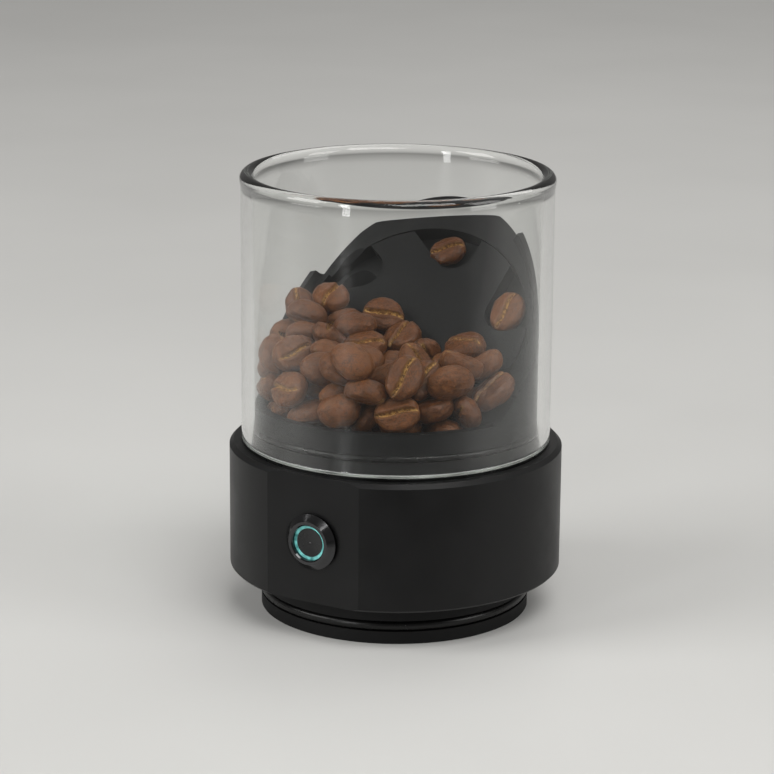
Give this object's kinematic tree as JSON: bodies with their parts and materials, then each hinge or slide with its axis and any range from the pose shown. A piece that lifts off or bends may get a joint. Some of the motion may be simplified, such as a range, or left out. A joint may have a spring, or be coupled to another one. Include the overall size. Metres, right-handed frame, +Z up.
{
  "type": "bean feeder hopper of a burr coffee grinder",
  "caption": "Small powered bean hopper for a coffee grinder: open glass cylinder on a round black base, with a tilted pocket disc that feeds beans down a chute in the foot.",
  "frame": {"origin": "centre of the underside of the foot", "axes": "+Z up along the glass tube's axis, -Y out of the flat face with the button, +X to the right when facing the button"},
  "size_m": [0.08, 0.0803, 0.1062],
  "materials": {
    "black_anodised": "fine bead-blasted and black anodised, satin",
    "black_nylon": "matt black nylon with a fine grain",
    "black_rubber": "smooth black rubber",
    "zinc_steel": "bright plated steel",
    "clear_glass": "clear borosilicate glass, fire-polished rim",
    "gear_brass": "machined brass",
    "motor_steel": "nickel-plated steel",
    "magnet_grey": "sintered ferrite",
    "copper_wire": "enamelled copper winding",
    "white_nylon": "natural nylon",
    "black_gloss_metal": "gloss black anodised",
    "light_lens": "translucent pale cyan lens, lit",
    "button_black": "satin black anodised",
    "cell_wrap": "shrink film",
    "pad_foam": "closed-cell foam tape",
    "board_green": "solder mask",
    "chip_black": "moulded epoxy",
    "lead_red": "insulated lead"
  },
  "bodies": {
    "base": {"housing": "black_anodised", "base_cover": "black_nylon", "spigot_ring": "black_rubber", "cover_screws": "zinc_steel", "glass_seat": "black_rubber", "tray": "black_nylon", "tray_ring": "black_rubber", "tray_screws": "zinc_steel", "idler_pin": "zinc_steel", "gearbox_front": "gear_brass", "gearbox_rear": "gear_brass", "gearbox_posts": "gear_brass", "gearbox_screws": "zinc_steel", "motor_can": "motor_steel", "motor_magnets": "magnet_grey", "motor_end_cap": "white_nylon", "motor_terminals": "gear_brass", "chute": "black_nylon", "switch_bezel": "black_gloss_metal", "switch_gasket": "black_rubber", "switch_nut": "zinc_steel", "light_ring": "light_lens", "button_spring": "zinc_steel", "switch_block": "black_nylon", "switch_pins": "gear_brass", "cell": "cell_wrap", "cell_holder": "black_nylon", "cell_contacts": "motor_steel", "holder_pad": "pad_foam", "circuit_board": "board_green", "board_screws": "zinc_steel", "control_chip": "chip_black", "charge_coil": "magnet_grey", "charge_inlet": "motor_steel", "inlet_tongue": "chip_black", "wire_plugs": "white_nylon", "motor_leads": "lead_red", "cell_leads": "lead_red", "switch_leads": "lead_red"},
    "glass": {"glass_tube": "clear_glass"},
    "feeder": {"feed_disc": "black_nylon", "disc_screw": "zinc_steel", "output_shaft": "zinc_steel", "output_gear": "gear_brass"},
    "third_gear": {"gear_3": "gear_brass"},
    "second_gear": {"gear_2": "gear_brass"},
    "first_gear": {"gear_1": "gear_brass"},
    "rotor": {"motor_rotor": "copper_wire", "motor_pinion": "gear_brass"},
    "button": {"button_cap": "button_black"}
  },
  "joints": [
    {"name": "glass_lift", "type": "slide", "parent": "base", "child": "glass", "axis": [0, 0, 1], "range_m": [0, 0.07]},
    {"name": "disc_spin", "type": "hinge", "parent": "base", "child": "feeder", "pos_m": [-0.00033, 0.00636, 0.06656], "axis": [0.037, -0.7061, 0.7071], "continuous": true},
    {"name": "gear_3_spin", "type": "hinge", "parent": "base", "child": "third_gear", "pos_m": [0.00296, 0.00653, 0.06656], "axis": [0.037, -0.7061, 0.7071], "continuous": true},
    {"name": "gear_2_spin", "type": "hinge", "parent": "base", "child": "second_gear", "pos_m": [-0.00033, 0.00636, 0.06656], "axis": [0.037, -0.7061, 0.7071], "continuous": true},
    {"name": "gear_1_spin", "type": "hinge", "parent": "base", "child": "first_gear", "pos_m": [0.00296, 0.00653, 0.06656], "axis": [0.037, -0.7061, 0.7071], "continuous": true},
    {"name": "motor_spin", "type": "hinge", "parent": "base", "child": "rotor", "pos_m": [-0.00033, 0.00636, 0.06656], "axis": [0.037, -0.7061, 0.7071], "continuous": true},
    {"name": "button_press", "type": "slide", "parent": "base", "child": "button", "axis": [0, 1, 0], "range_m": [0, 0.0012], "stiffness_N_per_m": 400, "springref_m": -0.001}
  ],
  "couplings": [
    {"joint": "gear_3_spin", "follows": "disc_spin", "ratio": -2.6667},
    {"joint": "gear_2_spin", "follows": "disc_spin", "ratio": 7.1111},
    {"joint": "gear_1_spin", "follows": "disc_spin", "ratio": -18.963},
    {"joint": "motor_spin", "follows": "disc_spin", "ratio": 50.568}
  ]
}
